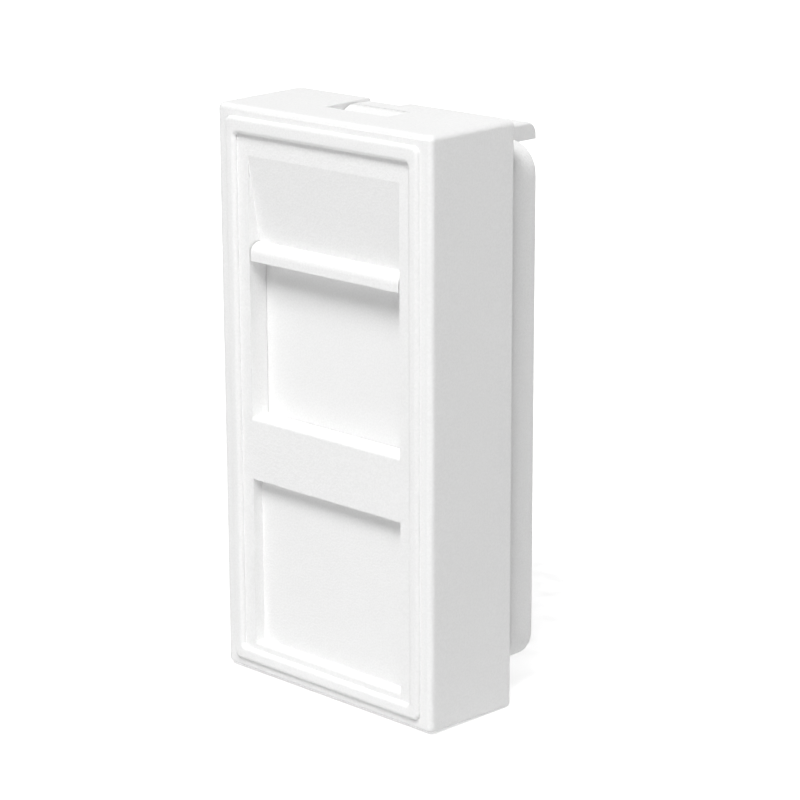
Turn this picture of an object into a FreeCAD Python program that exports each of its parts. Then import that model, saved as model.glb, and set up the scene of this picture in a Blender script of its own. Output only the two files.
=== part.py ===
# Snap-in keystone module, 25 x 50 mm, with a sliding dust shutter.
#
# Four mouldings and a spring: the bezel is the front housing, the shutter slides behind its plug
# opening, the return spring lifts the shutter, and the carrier closes the back and holds the jack.
#
# All lengths are millimetres. X runs to the right seen from the front, Z up, and Y from the front to
# the back. Each piece is drawn with Y = 0 on the raised border of the bezel and Z = 0 under its
# bottom edge; the placements then move the whole module so that its origin lies under its middle.

import FreeCAD, Part
import os
import Sketcher

from FreeCAD import Vector

OUTPUT_FOLDER = "parts"
TOLERANCE = 1e-4

SIZES = {
    # bezel, outside
    "body_width": 25.0,           # at the back edge, where the housing is widest
    "body_height": 50.0,
    "body_depth": 9.5,            # rim to back edge
    "body_corner": 0.5,
    "body_draft": 1.0,            # degrees, so that the moulding leaves its mould
    "body_edge": 0.5,
    "back_edge": 0.2,
    "border_proud": 0.35,         # raised border in front of the rim
    "border_side": 1.2,           # rim left showing beside the border
    "border_end": 0.95,           # rim left showing above and below it
    "border_corner": 0.6,
    "border_edge": 0.33,
    "panel_side": 2.45,
    "panel_low": 2.25,
    "panel_top": 2.5,             # top of the module down to the panel
    "panel_depth": 0.45,          # front panel behind the raised border
    "panel_corner": 0.35,
    # bezel, openings in the panel
    "panel_wall": 1.85,
    "opening_side": 3.72,         # side of the module to the side of the openings
    "opening_top": 11.7,          # top of the module down to the top of the opening
    "opening_height": 15.1,
    "sill_edge": 0.35,
    "lead_in_top": 4.3,           # top of the module down to the start of the slope
    "lead_in_depth": 1.15,
    "label_low": 2.95,
    "label_bar": 5.5,             # panel left between the label recess and the opening
    "label_depth": 1.0,
    "label_edge": 0.3,
    # bezel, inside
    "side_wall": 0.9,
    "top_wall": 1.7,
    "floor": 1.4,
    "latch_window_width": 7.4,
    "latch_window_front": 3.9,    # from the rim
    "latch_window_length": 3.7,
    "latch_groove": 0.3,
    "latch_groove_edge": 0.12,
    "foot_window_width": 8.0,
    "foot_window_length": 2.4,
    "foot_window_back": 0.9,      # floor left behind the window
    # shutter
    "shutter_lap": 1.0,           # plate beyond each side of the opening
    "shutter_thick": 1.2,
    "shutter_gap": 0.05,          # in front of the plate and behind it
    "guide_gap": 0.15,            # beside the plate
    "shutter_above": 1.3,         # plate above the lip
    "shutter_below": 4.0,         # plate below the sill
    "lip_height": 1.5,
    "lip_round": 0.9,
    "lip_end_gap": 0.15,
    "shelf_width": 3.4,
    "shelf_thick": 1.2,
    "shelf_round": 0.4,
    # return spring
    "spring_outside": 2.8,
    "spring_wire": 0.35,
    "spring_turns": 8.0,
    "spring_gap": 0.3,            # to the panel in front of it
    "spring_end_gap": 0.05,
    "peg_gap": 0.15,              # between a peg and the inside of the coil
    "peg_height": 1.4,
    # carrier
    "carrier_gap": 0.1,           # beside the bezel's walls
    "carrier_wall": 1.5,
    "carrier_face": 1.2,
    "spigot_low": 3.0,
    "spigot_top": 2.5,            # top of the module down to the top of the spigot
    "spigot_depth": 3.9,
    "spigot_corner": 2.6,
    "spigot_edge": 0.35,
    "jack_width": 14.8,
    "jack_front_height": 16.4,
    "jack_rear_height": 19.6,
    "jack_above_sill": 0.2,       # front aperture above the sill of the opening
    "jack_ledge": 1.6,            # step behind the front aperture, at its foot
    "jack_wall": 1.2,
    "spring_slot": 4.4,
    # latch and foot of the carrier
    "latch_width": 14.0,
    "latch_slit": 0.6,
    "latch_top": 1.8,             # top of the module down to the top of the tongue
    "latch_thick": 1.5,
    "latch_leg": 4.6,             # height of the arm's upright leg
    "latch_reach": 8.85,          # behind the bezel
    "latch_nose": 1.1,
    "latch_edge": 0.25,
    "latch_bevel": 0.8,
    "hook_gap": 0.08,
    "hook_flat": 0.5,
    "foot_inset": 0.25,           # foot stops this far above the underside
    "foot_bevel": 0.8,
}

WIRE_SIDES = 6                    # flats that stand for the round of the thin wire

# Places that several pieces share, written once from the sizes.
DRAFT_INSET = "(sizes.body_depth * tan(sizes.body_draft))"
FACE_HALF = f"(sizes.body_width / 2 - {DRAFT_INSET})"
FACE_LOW = DRAFT_INSET
FACE_TOP = f"(sizes.body_height - {DRAFT_INSET})"
RIM_Y = "sizes.border_proud"
BACK_Y = "(sizes.border_proud + sizes.body_depth)"
TIP_Y = f"({BACK_Y} + sizes.latch_reach)"
PANEL_BACK_Y = "(sizes.panel_depth + sizes.panel_wall)"
PLATE_Y = f"({PANEL_BACK_Y} + sizes.shutter_gap)"
PLATE_BACK_Y = f"({PLATE_Y} + sizes.shutter_thick)"
CARRIER_Y = f"({PLATE_BACK_Y} + sizes.shutter_gap)"
SPIGOT_BACK_Y = f"({BACK_Y} + sizes.spigot_depth)"
LATCH_FRONT_Y = f"({RIM_Y} + sizes.latch_window_front)"
LATCH_BACK_Y = f"({LATCH_FRONT_Y} + sizes.latch_window_length)"
FOOT_BACK_Y = f"({BACK_Y} - sizes.foot_window_back)"
FOOT_FRONT_Y = f"({FOOT_BACK_Y} - sizes.foot_window_length)"
SPRING_Y = f"({PANEL_BACK_Y} + sizes.spring_gap + sizes.spring_outside / 2)"
SHELF_BACK_Y = f"({SPRING_Y} + sizes.spring_outside / 2)"
LEAD_IN_Z = "(sizes.body_height - sizes.lead_in_top)"
OPENING_Z = "(sizes.body_height - sizes.opening_top)"
SILL_Z = f"({OPENING_Z} - sizes.opening_height)"
LABEL_TOP_Z = f"({SILL_Z} - sizes.label_bar)"
SHELF_Z = f"({SILL_Z} - sizes.shutter_below)"
SPIGOT_TOP_Z = "(sizes.body_height - sizes.spigot_top)"
LATCH_TOP_Z = "(sizes.body_height - sizes.latch_top)"
LATCH_LOW_Z = f"({LATCH_TOP_Z} - sizes.latch_thick)"
LATCH_ROOT_Z = f"({LATCH_TOP_Z} - sizes.latch_leg)"
OPENING_HALF = "(sizes.body_width / 2 - sizes.opening_side)"
PLATE_HALF = f"({OPENING_HALF} + sizes.shutter_lap)"
SPIGOT_HALF = "(sizes.body_width / 2 - sizes.side_wall - sizes.carrier_gap)"
JACK_LOW_Z = f"({SILL_Z} + sizes.jack_above_sill)"
PORT_LOW_Z = f"({JACK_LOW_Z} - sizes.jack_ledge)"
PORT_TOP_Z = f"({PORT_LOW_Z} + sizes.jack_rear_height)"
PEG_RADIUS = "(sizes.spring_outside / 2 - sizes.spring_wire - sizes.peg_gap)"


def make_sizes(doc):
    # every driving size goes into the sheet as text, under its own alias
    sheet = doc.addObject("Spreadsheet::Sheet", "sizes")
    for row, (alias, value) in enumerate(SIZES.items(), start=1):
        sheet.set(f"A{row}", alias.replace("_", " "))
        sheet.set(f"B{row}", str(value))
        sheet.setAlias(f"B{row}", alias)
    doc.recompute()
    return sheet


def number(doc, expression):
    # the present value of an expression over the sizes
    return float(doc.getObject("sizes").evalExpression(expression))


def origin_plane(body, role):
    return next(plane for plane in body.Origin.OriginFeatures if plane.Role == role)


def new_body(doc, label):
    body = doc.addObject("PartDesign::Body", label)
    body.Label = label
    body.setExpression("Placement.Base.y", f"-{TIP_Y} / 2")
    return body


def new_sketch(body, name, role, offset="0"):
    # lies on one of the body's own origin planes, moved along that plane's axis by the offset
    sketch = body.newObject("Sketcher::SketchObject", name)
    sketch.AttachmentSupport = [(origin_plane(body, role), "")]
    sketch.MapMode = "FlatFace"
    sign = "-" if role == "XZ_Plane" else ""      # this plane's normal points along -Y
    sketch.setExpression(".AttachmentOffset.Base.z", f"{sign}({offset})")
    return sketch


def bind(sketch, kind, places, expression):
    # adds a constraint that takes its value from the expression
    value = number(sketch.Document, expression)
    index = sketch.addConstraint(Sketcher.Constraint(kind, *places, value))
    sketch.setExpression(f"Constraints[{index}]", expression)


def add_outline(sketch, corners):
    # a closed outline through the corners, each given as a pair of expressions
    doc = sketch.Document
    points = [Vector(number(doc, x), number(doc, y), 0) for x, y in corners]
    first = sketch.GeometryCount
    count = len(points)
    for index in range(count):
        sketch.addGeometry(Part.LineSegment(points[index], points[(index + 1) % count]))
    for index in range(count):
        following = first + (index + 1) % count
        sketch.addConstraint(Sketcher.Constraint("Coincident", first + index, 2, following, 1))
    for index, (x, y) in enumerate(corners):
        bind(sketch, "DistanceX", (-1, 1, first + index, 1), x)
        bind(sketch, "DistanceY", (-1, 1, first + index, 1), y)


def add_rectangle(sketch, half_width, low, high):
    # a rectangle centred on the sketch's upright axis
    corners = [(f"-({half_width})", low), (half_width, low), (half_width, high), (f"-({half_width})", high)]
    add_outline(sketch, corners)


def add_circle(sketch, x, y, radius):
    doc = sketch.Document
    centre = Vector(number(doc, x), number(doc, y), 0)
    index = sketch.addGeometry(Part.Circle(centre, Vector(0, 0, 1), number(doc, radius)))
    bind(sketch, "DistanceX", (-1, 1, index, 3), x)
    bind(sketch, "DistanceY", (-1, 1, index, 3), y)
    bind(sketch, "Radius", (index,), radius)


def extrude(body, kind, name, sketch, length, toward_back=False, both_ways=False):
    # kind is Pad or Pocket; the length runs along the sketch's normal, or against it when reversed
    before = body.Shape.Volume if body.Tip else 0.0
    feature = body.newObject(f"PartDesign::{kind}", name)
    feature.Profile = sketch
    feature.setExpression("Length", length)
    feature.Reversed = toward_back if kind == "Pad" else not toward_back
    feature.Midplane = both_ways
    body.Document.recompute()
    change = body.Shape.Volume - before
    if (change > 0) != (kind == "Pad"):
        raise ValueError(f"{name} changes the volume by {change}")
    return feature


def edges_where(shape, test):
    # names of the edges whose two ends and middle all pass the test
    names = []
    for index, edge in enumerate(shape.Edges, start=1):
        middle = edge.valueAt((edge.FirstParameter + edge.LastParameter) / 2)
        points = [vertex.Point for vertex in edge.Vertexes] + [middle]
        if all(test(point) for point in points):
            names.append(f"Edge{index}")
    return names


def round_edges(body, name, radius, test):
    # fillets the edges of the present solid that pass the test
    base = body.Tip
    edges = edges_where(base.Shape, test)
    if not edges:
        raise ValueError(f"{name} finds no edge")
    fillet = body.newObject("PartDesign::Fillet", name)
    fillet.Base = (base, edges)
    fillet.setExpression("Radius", radius)
    body.Document.recompute()
    return fillet


def round_corners(body, name, radius, half_width, low, high):
    # rounds the four corners, as seen from the front, of the last block or recess
    half, bottom, top = (number(body.Document, value) for value in (half_width, low, high))
    round_edges(body, name, radius,
                lambda p: near(abs(p.x), half) and (near(p.z, bottom) or near(p.z, top)))


def near(value, target):
    return abs(value - target) < TOLERANCE


def plane_rectangle(body, name, offset, half_width, low, high):
    # an upright rectangle facing the front, at a depth of offset
    sketch = new_sketch(body, name, "XZ_Plane", offset)
    add_rectangle(sketch, half_width, low, high)
    return sketch


# ---- bezel

def add_bezel_block(doc, body):
    # the housing widens from the rim to the back edge by its draft
    sketch = plane_rectangle(body, "block_outline", RIM_Y, FACE_HALF, FACE_LOW, FACE_TOP)
    block = extrude(body, "Pad", "block", sketch, "sizes.body_depth", toward_back=True)
    block.setExpression("TaperAngle", "sizes.body_draft")
    doc.recompute()
    half, low, high = (number(doc, value) for value in (FACE_HALF, FACE_LOW, FACE_TOP))
    round_edges(body, "block_corners", "sizes.body_corner",
                lambda p: abs(p.x) > half - TOLERANCE and not low + TOLERANCE < p.z < high - TOLERANCE)
    rim_y = number(doc, RIM_Y)
    back_y = number(doc, BACK_Y)
    round_edges(body, "rim_edge", "sizes.body_edge", lambda p: near(p.y, rim_y))
    round_edges(body, "back_rim_edge", "sizes.back_edge", lambda p: near(p.y, back_y))


def add_bezel_border(body):
    face = (f"({FACE_HALF} - sizes.border_side)", f"({FACE_LOW} + sizes.border_end)",
            f"({FACE_TOP} - sizes.border_end)")
    sketch = plane_rectangle(body, "border_outline", "0", *face)
    extrude(body, "Pad", "border", sketch, RIM_Y, toward_back=True)
    round_corners(body, "border_corners", "sizes.border_corner", *face)
    round_edges(body, "border_outer_edge", "sizes.border_edge", lambda p: near(p.y, 0))


def add_bezel_panel(doc, body):
    face = ("(sizes.body_width / 2 - sizes.panel_side)", "sizes.panel_low",
            "(sizes.body_height - sizes.panel_top)")
    sketch = plane_rectangle(body, "panel_outline", "0", *face)
    extrude(body, "Pocket", "panel", sketch, "sizes.panel_depth", toward_back=True)
    round_corners(body, "panel_corners", "sizes.panel_corner", *face)
    half, low, high = (number(doc, value) + TOLERANCE for value in face)
    round_edges(body, "border_inner_edge", "sizes.border_edge",
                lambda p: near(p.y, 0) and abs(p.x) <= half and low - 2 * TOLERANCE <= p.z <= high)


def add_bezel_openings(doc, body):
    # the sloped lead-in above the shutter's lip, the plug opening and the label recess
    slope = new_sketch(body, "lead_in_outline", "YZ_Plane")
    add_outline(slope, [
        ("0", LEAD_IN_Z),
        ("sizes.panel_depth", LEAD_IN_Z),
        ("sizes.panel_depth + sizes.lead_in_depth", OPENING_Z),
        ("0", OPENING_Z),
    ])
    extrude(body, "Pocket", "lead_in", slope, f"2 * {OPENING_HALF}", both_ways=True)
    sketch = plane_rectangle(body, "opening_outline", "0", OPENING_HALF, SILL_Z, OPENING_Z)
    extrude(body, "Pocket", "plug_opening", sketch, PANEL_BACK_Y, toward_back=True)
    sketch = plane_rectangle(body, "label_outline", "0", OPENING_HALF, "sizes.label_low", LABEL_TOP_Z)
    extrude(body, "Pocket", "label_recess", sketch, "sizes.panel_depth + sizes.label_depth", toward_back=True)
    panel_y = number(doc, "sizes.panel_depth")
    sill = number(doc, SILL_Z)
    foot = number(doc, "sizes.label_low")
    round_edges(body, "sill_rounding", "sizes.sill_edge", lambda p: near(p.y, panel_y) and near(p.z, sill))
    round_edges(body, "label_rounding", "sizes.label_edge", lambda p: near(p.y, panel_y) and near(p.z, foot))


def add_bezel_hollow(body):
    # the open back and the shutter's channel in front of it
    top = "(sizes.body_height - sizes.top_wall)"
    hollow_half = "(sizes.body_width / 2 - sizes.side_wall)"
    sketch = plane_rectangle(body, "hollow_outline", BACK_Y, hollow_half, "sizes.floor", top)
    extrude(body, "Pocket", "hollow", sketch, f"{BACK_Y} - {CARRIER_Y}")
    channel_half = f"({PLATE_HALF} + sizes.guide_gap)"
    sketch = plane_rectangle(body, "channel_outline", CARRIER_Y, channel_half, "sizes.floor", top)
    extrude(body, "Pocket", "shutter_channel", sketch, f"{CARRIER_Y} - {PANEL_BACK_Y}")


def add_bezel_windows(doc, body):
    # the latch's window with the shallow groove behind it, and the window for the carrier's foot
    half = "(sizes.latch_window_width / 2)"
    groove = new_sketch(body, "latch_groove_outline", "XY_Plane", "sizes.body_height")
    add_rectangle(groove, half, LATCH_FRONT_Y, BACK_Y)
    extrude(body, "Pocket", "latch_groove", groove, "sizes.latch_groove", toward_back=True)
    half_width = number(doc, half)
    groove_floor = number(doc, "sizes.body_height - sizes.latch_groove")
    round_edges(body, "latch_groove_rounding", "sizes.latch_groove_edge",
                lambda p: near(abs(p.x), half_width) and p.z > groove_floor + TOLERANCE)
    window = new_sketch(body, "latch_window_outline", "XY_Plane", "sizes.body_height - sizes.latch_groove")
    add_rectangle(window, half, LATCH_FRONT_Y, LATCH_BACK_Y)
    extrude(body, "Pocket", "latch_window", window, "sizes.top_wall", toward_back=True)
    foot = new_sketch(body, "foot_window_outline", "XY_Plane")
    add_rectangle(foot, "sizes.foot_window_width / 2", FOOT_FRONT_Y, FOOT_BACK_Y)
    extrude(body, "Pocket", "foot_window", foot, "sizes.floor")


def add_bezel_peg(body):
    # centres the foot of the return spring
    sketch = new_sketch(body, "peg_outline", "XY_Plane", "sizes.floor")
    add_circle(sketch, "0", SPRING_Y, PEG_RADIUS)
    extrude(body, "Pad", "spring_peg", sketch, "sizes.peg_height")


def make_bezel(doc):
    body = new_body(doc, "bezel")
    add_bezel_block(doc, body)
    add_bezel_border(body)
    add_bezel_panel(doc, body)
    add_bezel_openings(doc, body)
    add_bezel_hollow(body)
    add_bezel_windows(doc, body)
    add_bezel_peg(body)
    return body


# ---- shutter

def make_shutter(doc):
    body = new_body(doc, "shutter")
    plate_top = f"{OPENING_Z} + sizes.shutter_above"
    sketch = plane_rectangle(body, "plate_outline", PLATE_Y, PLATE_HALF, SHELF_Z, plate_top)
    extrude(body, "Pad", "plate", sketch, "sizes.shutter_thick", toward_back=True)
    lip_half = f"({OPENING_HALF} - sizes.lip_end_gap)"
    lip_low = f"({OPENING_Z} - sizes.lip_height)"
    sketch = plane_rectangle(body, "lip_outline", "sizes.panel_depth", lip_half, lip_low, OPENING_Z)
    extrude(body, "Pad", "lip", sketch, f"{PLATE_Y} - sizes.panel_depth", toward_back=True)
    lip_y = number(doc, "sizes.panel_depth")
    lip_top = number(doc, OPENING_Z)
    round_edges(body, "lip_rounding", "sizes.lip_round", lambda p: near(p.y, lip_y) and near(p.z, lip_top))
    shelf = new_sketch(body, "shelf_outline", "XY_Plane", SHELF_Z)
    add_rectangle(shelf, "sizes.shelf_width / 2", PLATE_Y, SHELF_BACK_Y)
    extrude(body, "Pad", "spring_shelf", shelf, "sizes.shelf_thick")
    shelf_y = number(doc, SHELF_BACK_Y)
    shelf_half = number(doc, "sizes.shelf_width / 2")
    round_edges(body, "shelf_rounding", "sizes.shelf_round",
                lambda p: near(p.y, shelf_y) and near(abs(p.x), shelf_half))
    peg = new_sketch(body, "shelf_peg_outline", "XY_Plane", SHELF_Z)
    add_circle(peg, "0", SPRING_Y, PEG_RADIUS)
    extrude(body, "Pad", "shelf_peg", peg, "sizes.peg_height", toward_back=True)
    return body


# ---- return spring

def make_return_spring(doc):
    # one wire wound round the upright axis between the bezel's floor and the shutter's shelf
    body = new_body(doc, "return_spring")
    coil_radius = "(sizes.spring_outside - sizes.spring_wire) / 2"
    start = "(sizes.floor + sizes.spring_end_gap + sizes.spring_wire / 2)"
    end = f"({SHELF_Z} - sizes.spring_end_gap - sizes.spring_wire / 2)"
    sketch = new_sketch(body, "wire_section", "XZ_Plane")
    turns = [360 * side / WIRE_SIDES for side in range(WIRE_SIDES)]
    wire = "sizes.spring_wire / 2"
    add_outline(sketch, [
        (f"{coil_radius} + {wire} * cos({turn})", f"{start} + {wire} * sin({turn})") for turn in turns
    ])
    body.Document.recompute()
    helix = body.newObject("PartDesign::AdditiveHelix", "coil")
    helix.Profile = sketch
    helix.ReferenceAxis = (sketch, ["V_Axis"])
    helix.Mode = "height-turns-angle"
    helix.setExpression("Height", f"{end} - {start}")
    helix.setExpression("Turns", "sizes.spring_turns")
    body.setExpression("Placement.Base.y", f"{SPRING_Y} - {TIP_Y} / 2")
    body.Document.recompute()
    return body


# ---- carrier

def add_carrier_shell(doc, body):
    # a round-cornered box that runs from the shutter to the end of the spigot, hollow from the back
    face = (SPIGOT_HALF, "sizes.spigot_low", SPIGOT_TOP_Z)
    sketch = plane_rectangle(body, "spigot_outline", CARRIER_Y, *face)
    extrude(body, "Pad", "spigot", sketch, f"{SPIGOT_BACK_Y} - {CARRIER_Y}", toward_back=True)
    round_corners(body, "spigot_corners", "sizes.spigot_corner", *face)
    rear_y = number(doc, SPIGOT_BACK_Y)
    round_edges(body, "spigot_rear_edge", "sizes.spigot_edge", lambda p: near(p.y, rear_y))
    sketch = plane_rectangle(body, "inside_outline", SPIGOT_BACK_Y, f"{SPIGOT_HALF} - sizes.carrier_wall",
                             "sizes.spigot_low + sizes.carrier_wall", f"{SPIGOT_TOP_Z} - sizes.carrier_wall")
    extrude(body, "Pocket", "inside", sketch, f"{SPIGOT_BACK_Y} - {CARRIER_Y} - sizes.carrier_face")


def add_jack_port(body):
    # a tube behind the face, with a lower aperture in front that leaves a step for the jack above and below
    half = "(sizes.jack_width / 2)"
    face_back = f"({CARRIER_Y} + sizes.carrier_face)"
    sketch = plane_rectangle(body, "port_outline", face_back, f"{half} + sizes.jack_wall",
                             f"{PORT_LOW_Z} - sizes.jack_wall", f"{PORT_TOP_Z} + sizes.jack_wall")
    add_rectangle(sketch, half, PORT_LOW_Z, PORT_TOP_Z)
    extrude(body, "Pad", "port_tube", sketch, f"{SPIGOT_BACK_Y} - {face_back}", toward_back=True)
    sketch = plane_rectangle(body, "aperture_outline", CARRIER_Y, half,
                             JACK_LOW_Z, f"{JACK_LOW_Z} + sizes.jack_front_height")
    extrude(body, "Pocket", "port_aperture", sketch, "sizes.carrier_face", toward_back=True)


def add_spring_slot(body):
    # room for the spring and for the shutter's shelf on its way down
    slot_top = f"{PORT_LOW_Z} - sizes.jack_wall"
    sketch = plane_rectangle(body, "spring_slot_outline", CARRIER_Y, "sizes.spring_slot / 2", "0", slot_top)
    depth = f"{SHELF_BACK_Y} + sizes.shutter_gap + sizes.spring_gap - {CARRIER_Y}"
    extrude(body, "Pocket", "spring_slot", sketch, depth, toward_back=True)


def add_latch(doc, body):
    # a springy arm: a leg up from the face, a tongue out of the back, and a hook that fills the window
    gap_half = "(sizes.latch_width / 2 + sizes.latch_slit)"
    top = "sizes.body_height"
    sketch = plane_rectangle(body, "latch_gap_outline", CARRIER_Y, gap_half, LATCH_ROOT_Z, top)
    extrude(body, "Pocket", "latch_gap", sketch, f"{SPIGOT_BACK_Y} - {CARRIER_Y}", toward_back=True)
    arm = new_sketch(body, "latch_outline", "YZ_Plane")
    add_outline(arm, [
        (CARRIER_Y, LATCH_ROOT_Z),
        (f"{CARRIER_Y} + sizes.carrier_face", LATCH_ROOT_Z),
        (f"{CARRIER_Y} + sizes.carrier_face", LATCH_LOW_Z),
        (TIP_Y, LATCH_LOW_Z),
        (TIP_Y, LATCH_TOP_Z),
        (f"{CARRIER_Y} + sizes.latch_bevel", LATCH_TOP_Z),
        (CARRIER_Y, f"{LATCH_TOP_Z} - sizes.latch_bevel"),
    ])
    extrude(body, "Pad", "latch_arm", arm, "sizes.latch_width", both_ways=True)
    tip_y = number(doc, TIP_Y)
    top = number(doc, LATCH_TOP_Z)
    half = number(doc, "sizes.latch_width / 2")
    round_edges(body, "latch_nose", "sizes.latch_nose", lambda p: near(p.y, tip_y) and near(p.z, top))
    round_edges(body, "latch_sides", "sizes.latch_edge", lambda p: near(abs(p.x), half) and near(p.z, top))
    hook = new_sketch(body, "hook_outline", "YZ_Plane")
    hook_top = "(sizes.body_height - sizes.latch_groove)"
    hook_back = f"({LATCH_BACK_Y} - sizes.guide_gap)"
    add_outline(hook, [
        (f"{LATCH_FRONT_Y} + sizes.hook_gap", LATCH_TOP_Z),
        (hook_back, LATCH_TOP_Z),
        (hook_back, hook_top),
        (f"{hook_back} - sizes.hook_flat", hook_top),
    ])
    extrude(body, "Pad", "latch_hook", hook, "sizes.latch_window_width - 2 * sizes.hook_gap", both_ways=True)


def add_foot(body):
    # a fixed lug that hangs in the window of the bezel's floor
    foot = new_sketch(body, "foot_outline", "YZ_Plane")
    front = f"({FOOT_FRONT_Y} + sizes.hook_gap)"
    back = f"({FOOT_BACK_Y} - sizes.guide_gap)"
    add_outline(foot, [
        (front, "sizes.spigot_low"),
        (front, "sizes.foot_inset + sizes.foot_bevel"),
        (f"{front} + sizes.foot_bevel", "sizes.foot_inset"),
        (back, "sizes.foot_inset"),
        (back, "sizes.spigot_low"),
    ])
    extrude(body, "Pad", "foot", foot, "sizes.foot_window_width - 2 * sizes.hook_gap", both_ways=True)


def make_carrier(doc):
    body = new_body(doc, "carrier")
    add_carrier_shell(doc, body)
    add_jack_port(body)
    add_spring_slot(body)
    add_latch(doc, body)
    add_foot(body)
    return body


# ---- checks and output

def check_document(doc, bodies):
    failed = [item.Name for item in doc.Objects if {"Invalid", "Error"} & set(item.State)]
    if failed:
        raise ValueError(f"failed objects: {failed}")
    for body in bodies:
        if body.Shape.isNull() or not body.Shape.isValid():
            raise ValueError(f"{body.Label} has no valid shape")
        if len(body.Shape.Solids) != 1:
            raise ValueError(f"{body.Label} has {len(body.Shape.Solids)} solids")


def main():
    doc = FreeCAD.newDocument("keystone_module")
    make_sizes(doc)
    bodies = [make_bezel(doc), make_shutter(doc), make_return_spring(doc), make_carrier(doc)]
    doc.recompute()
    check_document(doc, bodies)
    os.makedirs(OUTPUT_FOLDER, exist_ok=True)
    for body in bodies:
        body.Shape.exportStep(f"{OUTPUT_FOLDER}/{body.Label}.step")
        print(f"{body.Label}: {body.Shape.Volume:.1f} mm3")


main()
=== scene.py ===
import math

import bmesh
import bpy
from mathutils import Matrix, Vector


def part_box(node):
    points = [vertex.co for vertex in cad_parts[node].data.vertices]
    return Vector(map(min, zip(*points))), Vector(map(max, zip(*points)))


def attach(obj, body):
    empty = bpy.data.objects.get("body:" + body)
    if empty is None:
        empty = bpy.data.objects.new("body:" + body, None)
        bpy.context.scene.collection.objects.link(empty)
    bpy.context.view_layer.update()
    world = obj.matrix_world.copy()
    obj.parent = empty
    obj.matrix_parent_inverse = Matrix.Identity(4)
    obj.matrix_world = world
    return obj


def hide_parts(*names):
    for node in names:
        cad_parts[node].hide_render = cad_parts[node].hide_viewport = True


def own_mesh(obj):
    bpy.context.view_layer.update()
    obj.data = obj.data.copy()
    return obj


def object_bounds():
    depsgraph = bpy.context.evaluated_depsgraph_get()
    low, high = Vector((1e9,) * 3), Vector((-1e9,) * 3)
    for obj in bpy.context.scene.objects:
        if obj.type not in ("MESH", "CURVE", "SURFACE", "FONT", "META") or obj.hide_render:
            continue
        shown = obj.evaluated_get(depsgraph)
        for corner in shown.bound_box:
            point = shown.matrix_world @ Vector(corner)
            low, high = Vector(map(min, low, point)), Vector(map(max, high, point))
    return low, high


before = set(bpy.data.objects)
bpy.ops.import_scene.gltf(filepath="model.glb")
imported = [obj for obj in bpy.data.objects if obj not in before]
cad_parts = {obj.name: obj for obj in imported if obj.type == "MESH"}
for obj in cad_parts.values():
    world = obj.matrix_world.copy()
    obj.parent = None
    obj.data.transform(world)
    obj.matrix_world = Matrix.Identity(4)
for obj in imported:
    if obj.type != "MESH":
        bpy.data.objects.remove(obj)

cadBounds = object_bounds()
mm = 0.001
moduleLow, moduleHigh = (Vector(corner) for corner in cadBounds)
moduleMiddle = (moduleLow + moduleHigh) / 2


# small helpers for node trees

def addNode(tree, kind, place=(0, 0), **settings):
    node = tree.nodes.new(kind)
    node.location = place
    for name, value in settings.items():
        setattr(node, name, value)
    return node


def setInputs(node, **values):
    for name, value in values.items():
        node.inputs[name].default_value = value
    return node


def newMaterial(name):
    # an empty node tree with a Principled BSDF wired to the output
    material = bpy.data.materials.new(name)
    material.use_nodes = True
    tree = material.node_tree
    tree.nodes.clear()
    output = addNode(tree, "ShaderNodeOutputMaterial", (600, 0))
    shader = addNode(tree, "ShaderNodeBsdfPrincipled", (300, 0))
    tree.links.new(shader.outputs["BSDF"], output.inputs["Surface"])
    return material, tree, shader


def newGroup(name, inputs, outputs):
    # inputs give a socket's name, kind and starting value, and outputs its name and kind
    group = bpy.data.node_groups.new(name, "ShaderNodeTree")
    for socketName, kind, start in inputs:
        socket = group.interface.new_socket(
            name=socketName, in_out="INPUT", socket_type=kind)
        if start is not None:
            socket.default_value = start
    for socketName, kind in outputs:
        group.interface.new_socket(name=socketName, in_out="OUTPUT", socket_type=kind)
    inside = addNode(group, "NodeGroupInput", (-900, 0))
    outside = addNode(group, "NodeGroupOutput", (900, 0))
    return group, inside, outside


def dress(node, material):
    # gives a CAD node one material in place of its own
    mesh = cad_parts[node].data
    mesh.materials.clear()
    mesh.materials.append(material)


# moulded plastic: a fine matte grain over a slow unevenness, in shade, gloss and height

grainNoise = {
    "grainDetail": 2.0,
    "grainRoughness": 0.55,
    "driftDetail": 1.0,
    "driftRoughness": 0.4,
    "noiseMiddle": 0.5,
}


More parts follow.
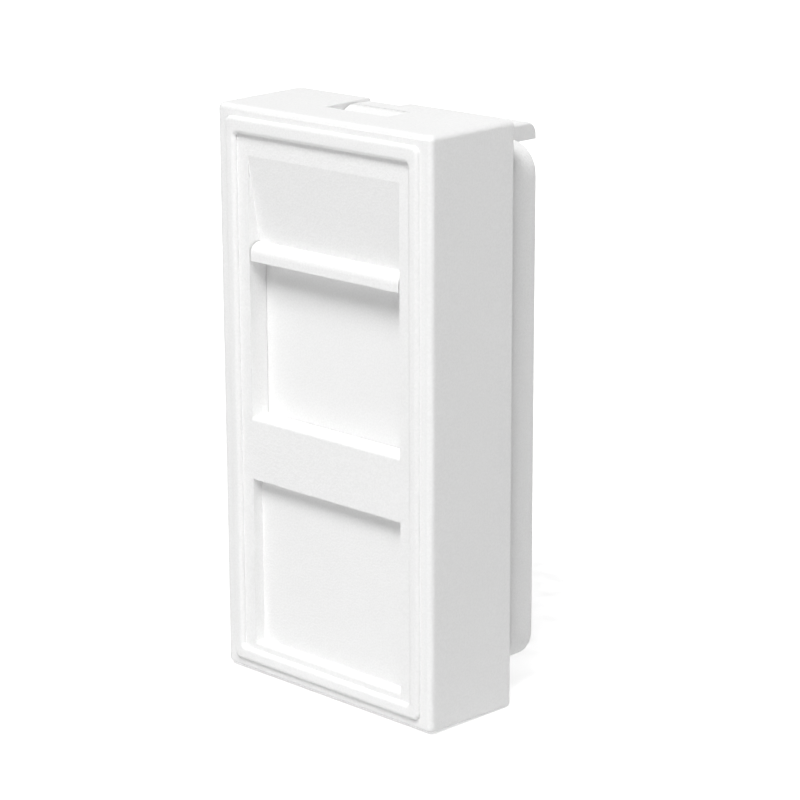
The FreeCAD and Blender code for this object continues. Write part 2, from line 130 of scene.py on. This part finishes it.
def buildMouldedGrain():
    group, inside, outside = newGroup(
        "mouldedGrain",
        [("position", "NodeSocketVector", None),
         ("plainColour", "NodeSocketColor", (0.87, 0.87, 0.865, 1)),
         ("shadeColour", "NodeSocketColor", (0.83, 0.83, 0.825, 1)),
         ("grainPerMetre", "NodeSocketFloat", 6000.0),
         ("driftPerMetre", "NodeSocketFloat", 160.0),
         ("noiseLow", "NodeSocketFloat", 0.35),
         ("noiseHigh", "NodeSocketFloat", 0.65),
         ("speckle", "NodeSocketFloat", 0.8),
         ("plainRoughness", "NodeSocketFloat", 0.5),
         ("roughnessSpread", "NodeSocketFloat", 0.1)],
        [("colour", "NodeSocketColor"),
         ("roughness", "NodeSocketFloat"),
         ("height", "NodeSocketFloat")])
    links = group.links
    grain = setInputs(
        addNode(group, "ShaderNodeTexNoise", (-600, 200)),
        Detail=grainNoise["grainDetail"], Roughness=grainNoise["grainRoughness"])
    drift = setInputs(
        addNode(group, "ShaderNodeTexNoise", (-600, -100)),
        Detail=grainNoise["driftDetail"], Roughness=grainNoise["driftRoughness"])
    links.new(inside.outputs["position"], grain.inputs["Vector"])
    links.new(inside.outputs["position"], drift.inputs["Vector"])
    links.new(inside.outputs["grainPerMetre"], grain.inputs["Scale"])
    links.new(inside.outputs["driftPerMetre"], drift.inputs["Scale"])
    # spreads the noise over its whole range
    crisp = addNode(group, "ShaderNodeMapRange", (-450, 300))
    links.new(grain.outputs["Fac"], crisp.inputs["Value"])
    links.new(inside.outputs["noiseLow"], crisp.inputs["From Min"])
    links.new(inside.outputs["noiseHigh"], crisp.inputs["From Max"])
    speckle = addNode(group, "ShaderNodeMix", (-300, 50), data_type="FLOAT")
    links.new(inside.outputs["speckle"], speckle.inputs[0])
    links.new(drift.outputs["Fac"], speckle.inputs[2])
    links.new(crisp.outputs["Result"], speckle.inputs[3])
    tint = addNode(group, "ShaderNodeMix", (100, 150), data_type="RGBA")
    links.new(speckle.outputs[0], tint.inputs[0])
    links.new(inside.outputs["plainColour"], tint.inputs[6])
    links.new(inside.outputs["shadeColour"], tint.inputs[7])
    centred = addNode(group, "ShaderNodeMath", (-100, -150), operation="SUBTRACT")
    centred.inputs[1].default_value = grainNoise["noiseMiddle"]
    links.new(speckle.outputs[0], centred.inputs[0])
    rough = addNode(group, "ShaderNodeMath", (150, -200), operation="MULTIPLY_ADD")
    links.new(centred.outputs[0], rough.inputs[0])
    links.new(inside.outputs["roughnessSpread"], rough.inputs[1])
    links.new(inside.outputs["plainRoughness"], rough.inputs[2])
    links.new(tint.outputs[2], outside.inputs["colour"])
    links.new(rough.outputs[0], outside.inputs["roughness"])
    links.new(crisp.outputs["Result"], outside.inputs["height"])
    return group


mouldedGrain = buildMouldedGrain()


def plasticMaterial(name, look):
    # one moulding's own finish, from its dictionary of values
    material, tree, shader = newMaterial(name)
    place = addNode(tree, "ShaderNodeTexCoord", (-700, 0))
    grain = addNode(tree, "ShaderNodeGroup", (-400, 0), node_tree=mouldedGrain)
    setInputs(grain, plainColour=look["colour"], shadeColour=look["shade"],
              grainPerMetre=1 / look["grainSize"], driftPerMetre=1 / look["driftSize"],
              speckle=look["speckle"], plainRoughness=look["roughness"],
              roughnessSpread=look["roughnessSpread"])
    bump = setInputs(
        addNode(tree, "ShaderNodeBump", (0, -250)), Strength=1.0, Distance=look["grainDepth"])
    tree.links.new(place.outputs["Object"], grain.inputs["position"])
    tree.links.new(grain.outputs["colour"], shader.inputs["Base Color"])
    tree.links.new(grain.outputs["roughness"], shader.inputs["Roughness"])
    tree.links.new(grain.outputs["height"], bump.inputs["Height"])
    tree.links.new(bump.outputs["Normal"], shader.inputs["Normal"])
    shader.inputs["IOR"].default_value = look["ior"]
    return material


bezelLook = {
    "colour": (0.884, 0.884, 0.882, 1),
    "shade": (0.838, 0.838, 0.836, 1),
    "grainSize": 0.18 * mm,
    "grainDepth": 0.01 * mm,
    "driftSize": 7 * mm,
    "speckle": 0.8,
    "roughness": 0.52,
    "roughnessSpread": 0.16,
    "ior": 1.5,
}
shutterLook = dict(bezelLook, grainDepth=0.006 * mm, roughness=0.46)
carrierLook = dict(bezelLook, grainDepth=0.014 * mm, roughness=0.48)

dress("bezel", plasticMaterial("bezelPlastic", bezelLook))
dress("shutter", plasticMaterial("shutterPlastic", shutterLook))
dress("carrier", plasticMaterial("carrierPlastic", carrierLook))
print("plastics done")


# return spring: drawn wire with closed end turns, wound in the place of the plain coil

springLook = {
    "colour": (0.56, 0.56, 0.575, 1),
    "shade": (0.38, 0.38, 0.4, 1),
    "drawLine": 0.05 * mm,
    "drawDetail": 3.0,
    "roughness": 0.28,
}
springShape = {
    "wire": 0.35 * mm,
    "activeTurns": 7.0,
    "closedTurns": 1.0,      # at each end
    "stepsPerTurn": 36,
    "sides": 12,
}


def springMaterial(look):
    material, tree, shader = newMaterial("springSteel")
    place = addNode(tree, "ShaderNodeTexCoord", (-700, 0))
    streak = setInputs(
        addNode(tree, "ShaderNodeTexNoise", (-400, 0)),
        Scale=1 / look["drawLine"], Detail=look["drawDetail"])
    tint = addNode(tree, "ShaderNodeMix", (-100, 100), data_type="RGBA")
    tint.inputs[6].default_value = look["colour"]
    tint.inputs[7].default_value = look["shade"]
    tree.links.new(place.outputs["Object"], streak.inputs["Vector"])
    tree.links.new(streak.outputs["Fac"], tint.inputs[0])
    tree.links.new(tint.outputs[2], shader.inputs["Base Color"])
    shader.inputs["Metallic"].default_value = 1.0
    shader.inputs["Roughness"].default_value = look["roughness"]
    return material


def coilHeight(turn, shape, low, high):
    # closed turns lie one wire apart at each end, and the active turns share the rest evenly
    wire, closed, active = shape["wire"], shape["closedTurns"], shape["activeTurns"]
    start, end = low + wire / 2, high - wire / 2
    if turn <= closed:
        return start + wire * turn
    if turn >= closed + active:
        return end - wire * (2 * closed + active - turn)
    share = (turn - closed) / active
    return start + wire * closed + share * (end - start - 2 * wire * closed)


def makeSpring(shape, look):
    low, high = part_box("return_spring")
    middle = (low + high) / 2
    wireRadius = shape["wire"] / 2
    coilRadius = (high.x - low.x) / 2 - wireRadius
    turns = shape["activeTurns"] + 2 * shape["closedTurns"]
    steps = int(turns * shape["stepsPerTurn"])
    mesh = bmesh.new()
    rings = []
    for step in range(steps + 1):
        turn = turns * step / steps
        angle = math.tau * turn
        outward = Vector((math.cos(angle), math.sin(angle), 0))
        onAxis = Vector((middle.x, middle.y, coilHeight(turn, shape, low.z, high.z)))
        centre = onAxis + outward * coilRadius
        ring = []
        for side in range(shape["sides"]):
            around = math.tau * side / shape["sides"]
            offset = outward * math.cos(around) + Vector((0, 0, math.sin(around)))
            ring.append(mesh.verts.new(centre + offset * wireRadius))
        rings.append(ring)
    for ring, following in zip(rings, rings[1:]):
        for side in range(shape["sides"]):
            after = (side + 1) % shape["sides"]
            mesh.faces.new((ring[side], following[side], following[after], ring[after]))
    mesh.faces.new(rings[0])
    mesh.faces.new(list(reversed(rings[-1])))
    bmesh.ops.recalc_face_normals(mesh, faces=mesh.faces)
    data = bpy.data.meshes.new("coilSpring")
    mesh.to_mesh(data)
    mesh.free()
    data.shade_smooth()
    data.materials.append(springMaterial(look))
    spring = bpy.data.objects.new("coilSpring", data)
    bpy.context.scene.collection.objects.link(spring)
    return spring, low, high


spring, springLow, springHigh = makeSpring(springShape, springLook)
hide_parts("return_spring")
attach(spring, "housing")
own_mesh(spring)
print("spring done")


# studio: pale floor, soft square lamps, and a surround that is white to the camera

studio = {
    "floorSize": 4.0,
    "floorColour": (0.76, 0.76, 0.76, 1),
    "floorGlow": 0.63,       # seen by the camera and in gloss only
    "fibrePerMetre": 400.0,
    "fibreDetail": 2.0,
    "lampDistance": 0.9,
}
# azimuth from the front, elevation, level at the module, and side of the lamp
lamps = {
    "key": (23, 55, 0.985, 0.36),
    "keyHigh": (0, 68, 0.05, 0.45),
    "keyRight": (50, 52, 0.14, 0.45),
    "backRight": (150, 22, 0.086, 0.45),
    "backLeft": (210, 5, 0.3, 0.2),
}


def directionTo(azimuth, elevation):
    turn, lift = math.radians(azimuth), math.radians(elevation)
    across = math.cos(lift)
    return Vector((math.sin(turn) * across, -math.cos(turn) * across, math.sin(lift)))


def seenPart(tree, place=(-600, 300)):
    # 1 where the camera looks straight at the surface or sees it in gloss or through glass
    rays = addNode(tree, "ShaderNodeLightPath", place)
    gloss = addNode(tree, "ShaderNodeMath", (place[0] + 200, place[1]), operation="MAXIMUM")
    clear = addNode(tree, "ShaderNodeMath", (place[0] + 400, place[1]), operation="MAXIMUM")
    tree.links.new(rays.outputs["Is Camera Ray"], gloss.inputs[0])
    tree.links.new(rays.outputs["Is Glossy Ray"], gloss.inputs[1])
    tree.links.new(gloss.outputs[0], clear.inputs[0])
    tree.links.new(rays.outputs["Is Transmission Ray"], clear.inputs[1])
    return clear.outputs[0]


def floorMaterial():
    material, tree, shader = newMaterial("floorPaper")
    place = addNode(tree, "ShaderNodeTexCoord", (-700, -200))
    fibre = setInputs(
        addNode(tree, "ShaderNodeTexNoise", (-500, -200)),
        Scale=studio["fibrePerMetre"], Detail=studio["fibreDetail"])
    tree.links.new(place.outputs["Object"], fibre.inputs["Vector"])
    shader.inputs["Base Color"].default_value = studio["floorColour"]
    tree.links.new(fibre.outputs["Fac"], shader.inputs["Roughness"])
    glow = addNode(tree, "ShaderNodeMath", (0, 300), operation="MULTIPLY")
    glow.inputs[1].default_value = studio["floorGlow"]
    tree.links.new(seenPart(tree), glow.inputs[0])
    shader.inputs["Emission Color"].default_value = (1, 1, 1, 1)
    tree.links.new(glow.outputs[0], shader.inputs["Emission Strength"])
    return material


def makeFloor():
    half = studio["floorSize"] / 2
    mesh = bpy.data.meshes.new("floor")
    corners = [(-half, -half, 0), (half, -half, 0), (half, half, 0), (-half, half, 0)]
    mesh.from_pydata(corners, [], [(0, 1, 2, 3)])
    mesh.materials.append(floorMaterial())
    floor = bpy.data.objects.new("floor", mesh)
    bpy.context.scene.collection.objects.link(floor)


def makeLamps():
    for name, (azimuth, elevation, level, side) in lamps.items():
        light = bpy.data.lights.new(name, "AREA")
        light.shape = "SQUARE"
        light.size = side
        light.energy = level * (math.pi * studio["lampDistance"]) ** 2
        lamp = bpy.data.objects.new(name, light)
        toward = directionTo(azimuth, elevation)
        lamp.location = moduleMiddle + toward * studio["lampDistance"]
        lamp.rotation_euler = toward.to_track_quat("Z", "Y").to_euler()
        bpy.context.scene.collection.objects.link(lamp)


def makeSurround():
    # plain white to the camera, and no light on the module
    world = bpy.data.worlds.new("surround")
    world.use_nodes = True
    tree = world.node_tree
    tree.nodes.clear()
    output = addNode(tree, "ShaderNodeOutputWorld", (600, 0))
    background = addNode(tree, "ShaderNodeBackground", (400, 0))
    tree.links.new(seenPart(tree), background.inputs["Strength"])
    tree.links.new(background.outputs["Background"], output.inputs["Surface"])
    background.inputs["Color"].default_value = (1, 1, 1, 1)
    bpy.context.scene.world = world


makeFloor()
makeLamps()
makeSurround()
print("studio done")


# camera

view = {
    "azimuth": 44.436,
    "elevation": 15.285,
    "roll": -0.195,
    "distance": 229.32 * mm,
    "lens": 124.63,
    "aimFromMiddle": (4.0 * mm, -4.0 * mm, 1.14 * mm),
    "clipStart": 1 * mm,
}


def makeCamera():
    data = bpy.data.cameras.new("camera")
    data.lens = view["lens"]
    data.clip_start = view["clipStart"]
    camera = bpy.data.objects.new("camera", data)
    back = directionTo(view["azimuth"], view["elevation"])
    level = back.to_track_quat("Z", "Y").to_matrix()
    roll = Matrix.Rotation(math.radians(view["roll"]), 3, back)
    camera.rotation_euler = (roll @ level).to_euler()
    camera.location = moduleMiddle + Vector(view["aimFromMiddle"]) + back * view["distance"]
    bpy.context.scene.collection.objects.link(camera)
    bpy.context.scene.camera = camera


makeCamera()
bpy.context.scene.view_settings.view_transform = "Standard"
print("camera done")
